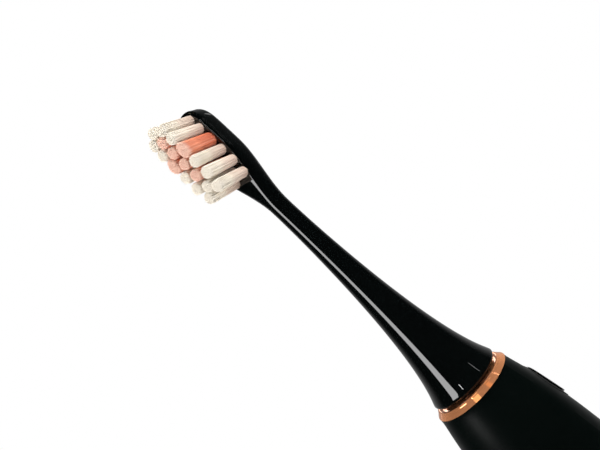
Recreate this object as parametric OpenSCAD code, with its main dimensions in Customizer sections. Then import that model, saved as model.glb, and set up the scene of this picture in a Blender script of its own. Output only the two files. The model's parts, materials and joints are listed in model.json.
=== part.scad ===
// Electric toothbrush standing on its inductive charger.
// Millimetres, +Z up. The origin is the centre of the charger's rest face.
// The brush axis is the Z axis and the bristles point along -Y.

/* [Charger] */
// Radius of the round charger
charger_r = 27; // [22:0.5:36]
// Height of the charger's rim above the table
charger_h = 13; // [11:0.5:18]
// Wall thickness of the charger shell
charger_wall = 2.2; // [1.6:0.1:3]
// Radius of the rounded upper edge of the charger
charger_edge = 3.5; // [1:0.25:5]
// Depth of the dish that the handle stands in
dish_depth = 3; // [1.5:0.25:4]
// Gap round the handle's foot in the dish
dish_gap = 1.4; // [0.8:0.1:3]
// Radius of the charging post
post_r = 5; // [4:0.25:6.5]
// Height of the charging post above the dish floor
post_h = 14; // [8:0.5:18]
// Thickness of the charger's base plate
base_t = 2.2; // [1.6:0.1:3]
// Height of the rubber foot ring below the base plate
foot_pad_h = 0.8; // [0.5:0.1:1.5]
// Radius of the bore that a charger lead would pass through
lead_r = 1.75; // [1.5:0.05:2.25]

/* [Handle] */
// Length of the handle, from its foot to the collar
handle_len = 166; // [150:1:190]
// Radius of the handle under the collar
throat_r = 9.2; // [8.9:0.1:10.2]
// Largest radius of the handle
grip_r = 13.3; // [12.7:0.1:15]
// Length over which the handle swells from throat to grip
swell_len = 42; // [36:1:60]
// Radius of the handle at its foot
foot_r = 12.4; // [12:0.1:14]
// Wall thickness of the handle shell
handle_wall = 2; // [1.6:0.1:2.2]
// Thickness of the handle's closed top
top_wall = 3; // [2.5:0.25:4]
// Height of the bottom cap's visible flange
cap_flange = 1.6; // [1:0.1:3]

/* [Collar] */
// Height of the metal collar
collar_h = 1.1; // [1:0.1:1.8]
// Radius of the collar's upper edge
collar_top_r = 8.5; // [8.2:0.1:8.9]
// Width of the collar's rounded lip
lip_w = 0.9; // [0.6:0.05:1.2]
// Thickness of the collar's recessed floor
collar_floor = 0.5; // [0.4:0.05:0.6]

/* [Power button] */
// Radius of the round power button
button_r = 4; // [3:0.1:4.5]
// Depth of the button's centre below the collar
button_drop = 10; // [9:0.5:16]
// Direction of the button, counted from +X towards +Y
button_az = 45; // [0:5:90]
// How far the button travels
button_travel = 0.5; // [0.3:0.05:0.7]
// How far the button stands proud of the handle
button_proud = 0.45; // [0.3:0.05:0.8]

/* [Brush head] */
// Height of the head, from its skirt to its tip
head_h = 81.1; // [72:0.1:90]
// Gap between the collar's upper edge and the head's skirt
head_gap = 0.4; // [0.3:0.05:1]
// Outer radius of the skirt
skirt_r = 8.1; // [7.6:0.1:8.2]
// Radius of the neck at its waist
neck_r = 2.25; // [2:0.05:2.8]
// Height of the waist above the skirt
waist_h = 50.5; // [46:0.5:53]
// Width of the bristle plate
plate_w = 9; // [8.6:0.1:10]
// Distance of the bristle plate's face from the brush axis
plate_front = 2.8; // [2.5:0.05:3.2]
// Distance of the plate's back from the brush axis
plate_back = 3; // [2:0.05:3.4]

/* [Tufts] */
// Radius of a round tuft
tuft_r = 1.2; // [1:0.05:1.25]
// Extra half length of the oblong tufts in the side rows
tuft_long = 0.5; // [0.3:0.05:0.55]
// Free length of the bristles
tuft_len = 10; // [8:0.25:12]
// Spacing of the tufts along the head
tuft_pitch = 3.3; // [3.1:0.05:3.5]
// Spacing of the three rows of tufts
row_pitch = 2.35; // [2.2:0.05:2.6]
// Depth of a tuft's hole in the plate
tuft_hole = 3.1; // [2:0.1:3.4]
// Distance of the upper full row from the head's tip
first_row = 5.7; // [5.4:0.1:6.5]

/* [Drive] */
// Radius of the steel drive shaft
shaft_r = 1.8; // [1.6:0.05:2]
// Length of the shaft that stands out of the collar
shaft_out = 20; // [16:0.5:24]
// Radius of the motor's tube
motor_r = 7.8; // [7.4:0.1:8]
// Length of the motor's tube
motor_len = 34; // [30:1:40]
// Depth of the motor's tube below the collar
motor_drop = 22; // [20:0.5:26]

/* [Power pack] */
// Radius of the battery cell
cell_r = 7; // [6.5:0.1:7]
// Length of the battery cell
cell_len = 49; // [40:1:50]
// Thickness of the circuit boards
board_t = 1; // [0.8:0.1:1.2]

/* [Fits] */
// Radial clearance of a shaft that turns or slides in a bore
running = 0.05; // [0.02:0.01:0.09]
// Radial clearance of pieces that are pushed together
push = 0.02; // [0.01:0.01:0.05]
// Radial clearance of pieces that move past each other without touching
loose = 0.4; // [0.35:0.05:0.6]

/* [Hidden] */
$fn = 96;
eps = 0.01;

// Heights of the main joints between the pieces
foot_z = charger_h - dish_depth;
throat_z = foot_z + handle_len;
collar_z = throat_z + collar_h;
skirt_z = collar_z + head_gap;
tip_z = skirt_z + head_h;
shaft_top = throat_z + shaft_out;
button_z = throat_z - button_drop;
motor_top = throat_z - motor_drop;
motor_bottom = motor_top - motor_len;

// A point on a cubic curve through four control points, and the whole curve
function bezier_point(p, t) =
    pow(1 - t, 3) * p[0] + 3 * pow(1 - t, 2) * t * p[1] + 3 * (1 - t) * t * t * p[2] + pow(t, 3) * p[3];
function bezier(p, n) = [for (i = [0:n]) bezier_point(p, i / n)];
// An arc of the given centre and radius, in degrees
function arc(c, r, a0, a1, n) = [for (i = [0:n]) let (a = a0 + (a1 - a0) * i / n) c + r * [cos(a), sin(a)]];

module lathe(points) rotate_extrude() polygon(points);
module tube(r_out, r_in, z0, z1)
    translate([0, 0, z0]) difference() {
        cylinder(r = r_out, h = z1 - z0);
        translate([0, 0, -1]) cylinder(r = r_in, h = z1 - z0 + 2);
    }
module disc(r, z0, z1) translate([0, 0, z0]) cylinder(r = r, h = z1 - z0);
// A block between two opposite corners
module block(a, b) translate(a) cube(b - a);
// A rod along +X from x0 to x1, at a height z and an offset y
module x_rod(r, x0, x1, y, z) translate([x0, y, z]) rotate([0, 90, 0]) cylinder(r = r, h = x1 - x0);
module towards_button() rotate([0, 0, button_az]) children();
// The three places of the charger's screws
module at_charger_screws()
    for (a = [30:120:270]) rotate([0, 0, a]) translate([charger_screw_ring, 0, 0]) children();
// A rod along +Y from y0 to y1, at a height z
module y_rod(r, y0, y1, z) translate([0, y0, z]) rotate([-90, 0, 0]) cylinder(r = r, h = y1 - y0);

// ---------------------------------------------------------------- charger
lead_z = foot_pad_h + base_t + lead_r + 1.9;
gland_r = lead_r + 0.9;
gland_flange_r = gland_r + 0.8;
gland_in = charger_r - charger_wall - 2.4;
gland_out = charger_r - 1.1;
gland_flange_t = 1;
dish_r = foot_r + dish_gap;
base_r = charger_r - 1;
roof_t = 1.6;
core_r = 2.2;
post_wall = 1.3;
charger_board_z = foot_pad_h + base_t + 1.2;
charger_screw_ring = 17;
boss_r = 2.2;
screw_r = 0.9;
screw_head_r = 1.7;
screw_head_h = 1.1;

module charger_shell() color([0.03, 0.03, 0.035]) difference() {
    union() {
        lathe(concat([[0, foot_pad_h + 0.6], [charger_r, foot_pad_h + 0.6]],
                     arc([charger_r - charger_edge, charger_h - charger_edge], charger_edge, 0, 90, 10),
                     arc([dish_r + 0.8, charger_h - 0.8], 0.8, 90, 180, 5),
                     [[dish_r, foot_z], [post_r, foot_z]],
                     arc([post_r - 1.5, foot_z + post_h - 1.5], 1.5, 0, 90, 6),
                     [[0, foot_z + post_h]]));
    }
    // hollow under the roof, and the bore inside the post
    difference() {
        disc(charger_r - charger_wall, -1, foot_z - roof_t);
        at_charger_screws() disc(boss_r, foot_pad_h + base_t, charger_h);
    }
    disc(post_r - post_wall, -1, foot_z + post_h - 1.6);
    at_charger_screws() disc(screw_r, 0, foot_z - roof_t - 0.5);
    disc(base_r + push, -1, foot_pad_h + base_t);
    // seat of the cable gland
    y_rod(gland_r + push, gland_in - 0.1, charger_r + 1, lead_z);
    y_rod(gland_flange_r + push, gland_out - gland_flange_t, charger_r + 1, lead_z);
}

module charger_base() color([0.06, 0.06, 0.065]) difference() {
    disc(base_r, foot_pad_h, foot_pad_h + base_t);
    tube(foot_ring_out + push, foot_ring_in - push, 0, foot_pad_h + 0.6);
    at_charger_screws() {
        disc(screw_r + 0.15, 0, charger_h);
        disc(screw_head_r + 0.2, 0, foot_pad_h + screw_head_h + 0.1);
    }
}

foot_ring_in = charger_screw_ring + 3;
foot_ring_out = base_r - 1.5;
module charger_foot_ring() color([0.09, 0.09, 0.09])
    tube(foot_ring_out, foot_ring_in, 0, foot_pad_h + 0.6);

module charger_ferrite() color([0.16, 0.15, 0.15]) disc(core_r, foot_pad_h + base_t, foot_z + post_h - 2.2);

module charger_coil() color([0.72, 0.35, 0.16])
    tube(post_r - post_wall - 0.15, core_r + push, foot_z - 1, foot_z + post_h - 2.6);

module charger_board() color([0.1, 0.32, 0.16]) difference() {
    disc(charger_r - charger_wall - 2.6, charger_board_z, charger_board_z + board_t);
    disc(core_r + 0.6, 0, charger_h);
    at_charger_screws() disc(boss_r + 0.3, 0, charger_h);
    block([-gland_flange_r - 0.6, gland_in - 3, 0], [gland_flange_r + 0.6, charger_r, charger_h]);
}

module charger_board_parts() color([0.12, 0.12, 0.13]) {
    top = charger_board_z + board_t;
    for (x = [-12, 12]) translate([x, -4, top]) cylinder(r = 2.6, h = 2.6, $fn = 48);
    block([-3.5, -14, top], [3.5, -9, top + 1.5]);
    for (i = [0:4]) block([-8 + 3.4 * i, 10, top], [-6.4 + 3.4 * i, 11.2, top + 0.8]);
}

module charger_screws() color([0.6, 0.6, 0.62]) at_charger_screws() difference() {
    union() {
        disc(screw_head_r, foot_pad_h + 0.1, foot_pad_h + 0.1 + screw_head_h);
        disc(screw_r, foot_pad_h + 0.1, foot_z - roof_t - 1);
    }
    // cross slot in the head
    block([-1.2, -0.2, 0], [1.2, 0.2, foot_pad_h + 0.6]);
    block([-0.2, -1.2, 0], [0.2, 1.2, foot_pad_h + 0.6]);
}

module cable_gland() color([0.05, 0.05, 0.05]) difference() {
    union() {
        y_rod(gland_r, gland_in, gland_out, lead_z);
        y_rod(gland_flange_r, gland_out - gland_flange_t, gland_out, lead_z);
    }
    y_rod(lead_r, gland_in - 1, gland_out + 1, lead_z);
}

// ---------------------------------------------------------------- handle
handle_curve = [[throat_r, throat_z], [throat_r - 0.3, throat_z - 2.4],
                [grip_r, throat_z - 9.2], [grip_r, throat_z - swell_len]];
foot_curve = [[grip_r, throat_z - swell_len], [grip_r, foot_z + 70], [foot_r, foot_z + 40],
              [foot_r, foot_z + cap_flange]];
handle_side = concat(bezier(handle_curve, 26), bezier(foot_curve, 12));
function handle_outline(extra) = [for (p = handle_side) p + [extra, 0]];
// The solid inside the handle's outer surface, grown or shrunk by extra
module handle_form(extra) lathe(concat([[0, foot_z + cap_flange], [0, throat_z]], handle_outline(extra)));

nose_r = 4.8;
cavity_top = throat_z - top_wall;
lens_z = button_z - 34;
lens_w = 2.2;
lens_h = 7;
// A bar with round ends along +X, grown all round
module lens_bar(grow) {
    r = lens_w / 2 + grow;
    half = (lens_h - lens_w) / 2;
    for (s = [-1, 1]) x_rod(r, cell_r, grip_r + 5, 0, lens_z + s * half);
    block([cell_r, -r, lens_z - half], [grip_r + 5, r, lens_z + half]);
}

gasket_r = button_r + 1;
module handle_shell() color([0.045, 0.045, 0.045]) difference() {
    handle_form(0);
    intersection() {
        handle_form(-handle_wall);
        disc(grip_r, foot_z, cavity_top);
    }
    disc(nose_r + push, cavity_top - 1, throat_z + 1);
    towards_button() {
        x_rod(gasket_r, 0, 20, 0, button_z);
        lens_bar(push);
    }
}

// The bottom cap closes the handle and holds the cup that the post enters
cup_r = post_r + loose;
cup_wall = 1.2;
cup_depth = post_h + 1;
spigot_h = 8;
seal_r = 0.9;
seal_z = foot_z + cap_flange + spigot_h / 2;
spigot_r = foot_r - handle_wall - 0.1;
module bottom_cap() color([0.04, 0.04, 0.04]) difference() {
    union() {
        lathe([[0, foot_z], [foot_r - 0.8, foot_z], [foot_r - 0.2, foot_z + 0.5],
               [foot_r - 0.05, foot_z + cap_flange - 0.2], [foot_r - 0.3, foot_z + cap_flange],
               [0, foot_z + cap_flange]]);
        disc(spigot_r, foot_z + cap_flange - eps, foot_z + cap_flange + spigot_h);
        disc(cup_r + cup_wall, foot_z, foot_z + cup_depth + cup_wall);
    }
    disc(cup_r, foot_z - 1, foot_z + cup_depth);
    tube(spigot_r - 1.2, cup_r + cup_wall, foot_z + cap_flange + 0.8, foot_z + 40);
    rotate_extrude() translate([spigot_r - 0.15, seal_z]) square([2, 2 * 0.75], center = true);
}

module cap_seal() color([0.5, 0.12, 0.1])
    tube(spigot_r + 0.08, spigot_r - 1.1, seal_z - 0.7, seal_z + 0.7);

bobbin_in = cup_r + cup_wall + push;
coil_z0 = foot_z + cap_flange + spigot_h + 1;
coil_z1 = foot_z + cup_depth - 0.5;
bobbin_out = spigot_r - 1.3;
module receive_bobbin() color([0.75, 0.73, 0.66]) {
    tube(bobbin_in + 0.6, bobbin_in, coil_z0, coil_z1 + 1);
    tube(bobbin_out, bobbin_in, coil_z0 - 0.8, coil_z0);
    tube(bobbin_out, bobbin_in, coil_z1, coil_z1 + 1);
}

module receive_coil() color([0.72, 0.35, 0.16])
    tube(bobbin_out - 0.4, bobbin_in + 0.6 + push, coil_z0 + 0.05, coil_z1 - 0.05);

// ---------------------------------------------------------------- power pack
board_x = motor_r + 0.7;
board_w = 8;
board_top = motor_top - 2;
cell_top = motor_bottom - 6;
cell_bottom = cell_top - cell_len;
board_bottom = cell_bottom - 4;
cradle_in = cell_r + 0.2;
cradle_out = cradle_in + 1;
chassis_bottom = coil_z1 + 6;
screw_zs = [cell_top - 4, cell_bottom + 4];
board_screw_r = 0.55;
tab_t = 0.3;

module chassis() color([0.55, 0.55, 0.53]) difference() {
    union() {
        tube(cradle_out, cradle_in, chassis_bottom, cell_top + 3);
        disc(cradle_out, cell_bottom - 3.2, cell_bottom - 2.2);
        disc(cradle_out, chassis_bottom, chassis_bottom + 1.2);
        disc(cradle_out, cell_top + 2, cell_top + 3);
        // posts that carry the main board
        towards_button() for (z = screw_zs)
            block([cradle_in - 2.4, -board_w / 2, z - 1.5], [board_x, board_w / 2, z + 1.5]);
    }
    // open front of the cradle, between the posts
    towards_button() {
        block([2.5, -20, cell_bottom - 2], [cradle_out + 2, 20, screw_zs[1] - 1.5]);
        block([2.5, -20, screw_zs[1] + 1.5], [cradle_out + 2, 20, screw_zs[0] - 1.5]);
        for (z = screw_zs) x_rod(board_screw_r, 4, 20, 0, z);
        // ways out for the battery's tabs
        for (z = [cell_top, cell_bottom - tab_t])
            block([2.5, -1.6, z - 0.1], [cradle_out + 2, 1.6, z + tab_t + 0.1]);
        block([-2, -1.5, chassis_bottom + 1.2], [20, 1.5, cell_bottom - 3.2]);
    }
    disc(cradle_in, cell_bottom - 2.2, cell_top + 2);
}

module battery_cell() color([0.1, 0.25, 0.5]) {
    disc(cell_r, cell_bottom, cell_top - 1);
    disc(2.4, cell_top - 1, cell_top);
}

module battery_tabs() color([0.75, 0.72, 0.6]) towards_button() {
    for (z = [cell_top, cell_bottom - tab_t]) block([-3, -1.5, z], [board_x, 1.5, z + tab_t]);
}

module battery_pad() color([0.2, 0.2, 0.2]) disc(cell_r - 0.5, cell_bottom - 2.2, cell_bottom - tab_t);

module main_board() color([0.1, 0.32, 0.16]) towards_button() difference() {
    block([board_x, -board_w / 2, board_bottom], [board_x + board_t, board_w / 2, board_top]);
    for (z = screw_zs) x_rod(0.7, 0, 20, 0, z);
}

parts_x = board_x + board_t;
module board_parts() color([0.12, 0.12, 0.13]) towards_button() {
    block([parts_x, -2.5, cell_top - 18], [parts_x + 0.9, 2.5, cell_top - 11]);
    block([parts_x, -2, cell_top - 30], [parts_x + 0.8, 2, cell_top - 26]);
    for (i = [0:4], y = [-2.6, 1]) let (z = motor_top - 12 - 3 * i)
        block([parts_x, y, z], [parts_x + 0.5, y + 1.6, z + 1]);
}

module board_screws() color([0.6, 0.6, 0.62]) towards_button()
    for (z = screw_zs) {
        x_rod(board_screw_r, cradle_in + 0.2, parts_x, 0, z);
        x_rod(1.1, parts_x, parts_x + 0.6, 0, z);
    }

status_led_x = parts_x + 0.6;
module status_led() color([0.9, 0.9, 0.8]) towards_button()
    block([parts_x, -0.8, lens_z - 1.5], [status_led_x, 0.8, lens_z + 1.5]);

module charge_lens() color([0.5, 0.5, 0.52]) towards_button() intersection() {
    lens_bar(0);
    handle_form(0);
    block([status_led_x + 0.15, -5, lens_z - 10], [20, 5, lens_z + 10]);
}

// ---------------------------------------------------------------- power button
switch_x = nose_r + 1.4;
switch_w = 7;
switch_h = 10;
switch_face = switch_x + board_t + 1;
plunger = 0.3;
module switch_board() color([0.1, 0.32, 0.16]) towards_button()
    block([switch_x, -switch_w / 2, button_z - switch_h / 2],
          [switch_x + board_t, switch_w / 2, button_z + switch_h / 2]);

module tact_switch() color([0.7, 0.7, 0.7]) towards_button() {
    block([switch_x + board_t, -1.6, button_z - 1.6], [switch_face, 1.6, button_z + 1.6]);
    x_rod(0.8, switch_face, switch_face + plunger, 0, button_z);
}

link_x = switch_x + 0.4;
link_t = 0.2;
link_w = 3;
link_z = motor_top + 1.8;
module board_link() color([0.75, 0.5, 0.2]) towards_button() {
    block([link_x, -link_w / 2, link_z], [link_x + link_t, link_w / 2, button_z - switch_h / 2]);
    block([link_x, -link_w / 2, link_z], [board_x + link_t, link_w / 2, link_z + link_t]);
    block([board_x, -link_w / 2, board_top], [board_x + link_t, link_w / 2, link_z + link_t]);
}

stem_x = switch_face + plunger + button_travel + 0.1;
cap_x = stem_x + 0.5;
module power_button() color([0.02, 0.02, 0.022]) towards_button() {
    intersection() {
        x_rod(button_r, cap_x, 20, 0, button_z);
        handle_form(button_proud);
    }
    x_rod(1.2, stem_x, cap_x, 0, button_z);
}

module button_gasket() color([0.06, 0.06, 0.06]) towards_button() difference() {
    intersection() {
        x_rod(gasket_r - push, cap_x - 0.4, 20, 0, button_z);
        handle_form(0.1);
    }
    x_rod(button_r + running, 0, 20, 0, button_z);
}

// ---------------------------------------------------------------- drive
bearing_r = 3.5;
nose_top = throat_z - 3.6;
frame_wall = 0.8;
bush_len = 4;
module motor_frame() color([0.35, 0.36, 0.38]) lathe([
    [bearing_r + push, nose_top], [nose_r - 0.4, nose_top], [nose_r - 0.4, motor_top + 1.5],
    [motor_r, motor_top + 1.5], [motor_r, motor_bottom], [bearing_r + push, motor_bottom],
    [bearing_r + push, motor_bottom + bush_len], [bearing_r + 1.2, motor_bottom + bush_len],
    [bearing_r + 1.2, motor_bottom + 1.2], [motor_r - frame_wall, motor_bottom + 1.2],
    [motor_r - frame_wall, motor_top], [bearing_r - 0.6, motor_top], [bearing_r - 0.6, nose_top - bush_len],
    [bearing_r + push, nose_top - bush_len]]);

module front_bearing() color([0.65, 0.5, 0.25])
    tube(bearing_r, shaft_r + running, nose_top - bush_len, nose_top);

module rear_bearing() color([0.65, 0.5, 0.25])
    tube(bearing_r, shaft_r + running, motor_bottom, motor_bottom + bush_len);

gap_r = 5;
pole_r = motor_r - frame_wall - push;
pole_h = 7;
core_z0 = motor_bottom + bush_len + 3;
core_z1 = motor_top - 2;
claws = 4;
module stator_poles() color([0.4, 0.4, 0.42]) {
    for (z = [core_z0, core_z1 - 1.6]) tube(pole_r, gap_r, z, z + 1.6);
    for (i = [0:claws - 1]) rotate([0, 0, i * 360 / claws]) intersection() {
        tube(gap_r + 0.6, gap_r, core_z0 + (i % 2) * 3, core_z1 - 3 + (i % 2) * 3);
        block([0, -2, 0], [gap_r + 2, 2, tip_z]);
    }
}

module stator_coil() color([0.72, 0.35, 0.16])
    tube(pole_r - 0.2, gap_r + 0.7, core_z0 + 1.7, core_z1 - 1.7);

// Two leads from the coil, out through the motor's top and down to the board
wire_r = 0.35;
lead_top = motor_top + 2.6;
module stator_leads() color([0.6, 0.12, 0.1]) towards_button()
    for (y = [-2.3, 2.3]) {
        x0 = gap_r + 1.2;
        x1 = board_x + board_t / 2;
        x_rod(wire_r, x0, x1, y, lead_top);
        for (x = [x0, x1]) translate([x, y, lead_top]) sphere(r = wire_r, $fn = 24);
        translate([x0, y, 0]) disc(wire_r, motor_top + 1.5, lead_top);
        translate([x1, y, 0]) disc(wire_r, board_top, lead_top);
    }

seal_top = throat_z + 1;
module shaft_seal() color([0.08, 0.08, 0.08]) lathe([
    [shaft_r + running, cavity_top], [nose_r, cavity_top], [nose_r, throat_z + collar_floor],
    [shaft_r + 1, seal_top], [shaft_r + running, seal_top]]);

module drive_shaft() color([0.72, 0.73, 0.75]) difference() {
    union() {
        disc(shaft_r, motor_bottom - 1, shaft_top - 0.5);
        translate([0, 0, shaft_top - 0.5]) cylinder(r1 = shaft_r, r2 = shaft_r - 0.5, h = 0.5);
    }
    block([-5, flat_y, shaft_top - flat_len], [5, 5, shaft_top + 1]);
}
flat_y = 1.3;
flat_len = 11;

rotor_r = 3.2;
module rotor_core() color([0.45, 0.45, 0.47])
    tube(rotor_r, shaft_r + push, core_z0 + 1, core_z1 - 1);

module rotor_magnets() color([0.3, 0.3, 0.33])
    for (i = [0:3]) rotate([0, 0, i * 90]) intersection() {
        tube(gap_r - loose, rotor_r + push, core_z0 + 2, core_z1 - 2);
        rotate([0, 0, -40]) block([0, 0, 0], [gap_r + 2, gap_r + 2, tip_z]);
        rotate([0, 0, -50]) block([0, 0, 0], [gap_r + 2, gap_r + 2, tip_z]);
    }

// ---------------------------------------------------------------- collar
module collar_ring() color([0.85, 0.5, 0.36]) lathe(concat(
    [[nose_r + push, throat_z], [throat_r, throat_z]],
    arc([collar_top_r - lip_w / 2, collar_z - lip_w / 2], lip_w / 2, 15, 165, 8),
    [[collar_top_r - lip_w - 0.2, throat_z + collar_floor + 0.15],
     [collar_top_r - lip_w - 0.7, throat_z + collar_floor], [nose_r + push, throat_z + collar_floor]]));

// ---------------------------------------------------------------- brush head
lip_r = 0.9;
neck_curve = [[skirt_r, lip_r], [3, 11.5], [neck_r, 43], [neck_r, waist_h]];
function lip_point(a) = [skirt_r - lip_r * (1 - sin(a)), lip_r * (1 - cos(a))];
skirt_lip = concat([[skirt_r - lip_r - 0.1, 0]], [for (a = [0:15:75]) lip_point(a)]);
// The lofted bristle plate: half width, front and back at a share u of its height
plate_z0 = skirt_z + waist_h - 6;
cap_len = 10;
function smooth(a, b, v) = let (t = min(1, max(0, (v - a) / (b - a)))) t * t * (3 - 2 * t);
function end_round(z) = let (s = max(0, 1 - (tip_z - z) / cap_len)) sqrt(max(0.0004, 1 - pow(s, 5.3)));
function widen(z) = smooth(skirt_z + waist_h + 1.3, skirt_z + waist_h + 18.2, z);
function half_w(z) = (neck_r + (plate_w / 2 - neck_r) * widen(z)) * end_round(z);
function front_y(z) = (neck_r + (plate_front - neck_r) * widen(z)) * pow(end_round(z), 0.25);
function back_y(z) = (neck_r + (plate_back - neck_r) * widen(z)) * pow(end_round(z), 0.6);
function power(v, e) = sign(v) * pow(abs(v), e);
plate_steps = 28;
plate_sides = 28;
function plate_height(i) = plate_z0 + (tip_z - plate_z0) * sin(90 * pow(i / plate_steps, 0.9));
function plate_ring(z) = [for (k = [0:plate_sides - 1])
    let (a = 360 * k / plate_sides, c = cos(a), s = sin(a), e = 1 - (s < 0 ? 0.7 : 0.5) * widen(z))
    [half_w(z) * power(c, e), (s < 0 ? front_y(z) : back_y(z)) * power(s, e), z]];
module plate_form() {
    points = [for (i = [0:plate_steps]) each plate_ring(plate_height(i))];
    faces = concat([[for (k = [0:plate_sides - 1]) k]],
        [for (i = [0:plate_steps - 1], k = [0:plate_sides - 1]) let (n = plate_sides, j = (k + 1) % n)
            each [[i * n + k, (i + 1) * n + k, (i + 1) * n + j], [i * n + k, (i + 1) * n + j, i * n + j]]],
        [[for (k = [plate_sides - 1:-1:0]) plate_steps * plate_sides + k]]);
    polyhedron(points, faces, convexity = 4);
}

// Places of the tufts on the plate, as [x, height]
row_z = tip_z - first_row;
function side_pair(x, z) = [[-x, z], [x, z]];
white_places = concat(
    [[0, row_z + 4.1]],
    side_pair(2.05, row_z + 2.75),
    side_pair(row_pitch, row_z),
    side_pair(row_pitch, row_z - 2 * tuft_pitch),
    side_pair(row_pitch, row_z - 3 * tuft_pitch),
    side_pair(1.8, row_z - 4 * tuft_pitch),
    [[0, row_z - 3.5 * tuft_pitch]]);
long_places = side_pair(row_pitch, row_z - tuft_pitch);
pink_places = concat(
    [for (i = [0:2]) [0, row_z - (i + 0.5) * tuft_pitch]],
    [[0, row_z + 1.35]]);

socket_r = 2.75;
socket_z0 = skirt_z + 0.5;
socket_z1 = skirt_z + 20;
skirt_wall = 1.3;
hollow_h = 9;
module bundle(p, r, y0, y1) translate([p[0], 0, 0]) y_rod(r, y0, y1, p[1]);
module long_bundle(p, r, y0, y1) {
    for (side = [-1, 1]) bundle([p[0], p[1] + side * tuft_long], r, y0, y1);
    block([p[0] - r, y0, p[1] - tuft_long], [p[0] + r, y1, p[1] + tuft_long]);
}
module tuft_holes() {
    for (p = concat(white_places, pink_places))
        bundle(p, tuft_r + push, -plate_front - 2, tuft_hole - plate_front);
    for (p = long_places) long_bundle(p, tuft_r + push, -plate_front - 2, tuft_hole - plate_front);
}

module head_shell() color([0.015, 0.018, 0.018]) difference() {
    union() {
        translate([0, 0, skirt_z])
            lathe(concat([[0, 0]], skirt_lip, bezier(neck_curve, 30), [[0, waist_h]]));
        plate_form();
    }
    disc(socket_r + push, 0, socket_z1 + 0.1);
    // hollow inside the skirt
    translate([0, 0, skirt_z]) lathe(concat([[0, -1], [skirt_r - skirt_wall, -1]],
        [for (i = [0:9]) bezier_point(neck_curve, i / 22) - [skirt_wall, 0]],
        [[0, bezier_point(neck_curve, 9 / 22)[1]]]));
    tuft_holes();
}

module head_socket() color([0.8, 0.8, 0.78]) difference() {
    union() {
        disc(socket_r, socket_z0, socket_z1);
        // ribs that centre the socket in the skirt
        for (a = [0:90:270]) rotate([0, 0, a + 45])
            block([1, -0.5, skirt_z + 0.6], [skirt_r - skirt_wall - 2.2, 0.5, skirt_z + 3.2]);
    }
    difference() {
        disc(shaft_r + push, 0, shaft_top + 0.3);
        block([-5, flat_y + push, shaft_top - flat_len + 0.4], [5, 5, tip_z]);
    }
}

module head_clip() color([0.7, 0.7, 0.72]) difference() {
    tube(socket_r + 0.5, socket_r + push, skirt_z + 3.6, skirt_z + 5.6);
    block([-1.2, 0, 0], [1.2, 10, tip_z]);
}

anchor_t = 0.5;
tip_y = -plate_front - tuft_len;
root_y = tuft_hole - plate_front - anchor_t;
module tufts_white() color([0.9, 0.87, 0.82]) for (p = white_places) bundle(p, tuft_r, tip_y, root_y);
module tufts_pink() color([0.9, 0.55, 0.44]) {
    for (p = pink_places) bundle(p, tuft_r, tip_y, root_y);
    for (p = long_places) long_bundle(p, tuft_r, tip_y, root_y);
}
module tuft_anchors() color([0.78, 0.7, 0.45]) for (p = concat(white_places, pink_places, long_places))
    translate([p[0] - 0.9, -plate_front + tuft_hole - anchor_t, p[1] - 0.15]) cube([1.8, anchor_t, 0.3]);

charger_shell();
charger_base();
charger_foot_ring();
charger_ferrite();
charger_coil();
charger_board();
charger_board_parts();
charger_screws();
cable_gland();
handle_shell();
bottom_cap();
cap_seal();
receive_bobbin();
receive_coil();
chassis();
battery_cell();
battery_tabs();
battery_pad();
main_board();
board_parts();
board_screws();
switch_board();
tact_switch();
board_link();
status_led();
charge_lens();
motor_frame();
front_bearing();
rear_bearing();
stator_poles();
stator_coil();
stator_leads();
collar_ring();
shaft_seal();
button_gasket();
power_button();
drive_shaft();
rotor_core();
rotor_magnets();
head_shell();
head_socket();
head_clip();
tufts_white();
tufts_pink();
tuft_anchors();
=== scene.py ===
"""Electric toothbrush on its charger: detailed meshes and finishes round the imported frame."""

import json
import logging
import math
import random
from dataclasses import dataclass, field
from enum import Enum
from typing import Iterable

import bmesh
import bpy
from mathutils import Matrix, Vector


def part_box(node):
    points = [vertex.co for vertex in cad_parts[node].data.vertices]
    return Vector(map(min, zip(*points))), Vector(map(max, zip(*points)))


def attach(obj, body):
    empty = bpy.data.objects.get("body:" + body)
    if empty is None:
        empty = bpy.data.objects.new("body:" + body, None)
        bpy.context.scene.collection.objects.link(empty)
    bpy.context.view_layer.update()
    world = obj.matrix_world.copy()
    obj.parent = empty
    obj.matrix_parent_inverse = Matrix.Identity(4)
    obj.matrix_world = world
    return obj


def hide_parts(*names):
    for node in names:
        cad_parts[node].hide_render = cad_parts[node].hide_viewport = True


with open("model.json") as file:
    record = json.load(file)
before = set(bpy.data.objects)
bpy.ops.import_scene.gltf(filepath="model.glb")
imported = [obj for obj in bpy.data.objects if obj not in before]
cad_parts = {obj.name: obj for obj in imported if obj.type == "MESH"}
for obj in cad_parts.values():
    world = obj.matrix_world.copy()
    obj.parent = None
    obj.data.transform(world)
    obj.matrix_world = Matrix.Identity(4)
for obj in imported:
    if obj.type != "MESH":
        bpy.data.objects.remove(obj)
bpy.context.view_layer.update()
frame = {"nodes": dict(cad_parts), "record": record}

log = logging.getLogger("toothbrush")
MM = 0.001
POLE_RADIUS = 1e-7
DUST_COLOUR = (0.5, 0.5, 0.48, 1.0)
WHITE = (1.0, 1.0, 1.0, 1.0)
Colour = tuple[float, float, float]
Profile = list[tuple[float, float]]


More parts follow.
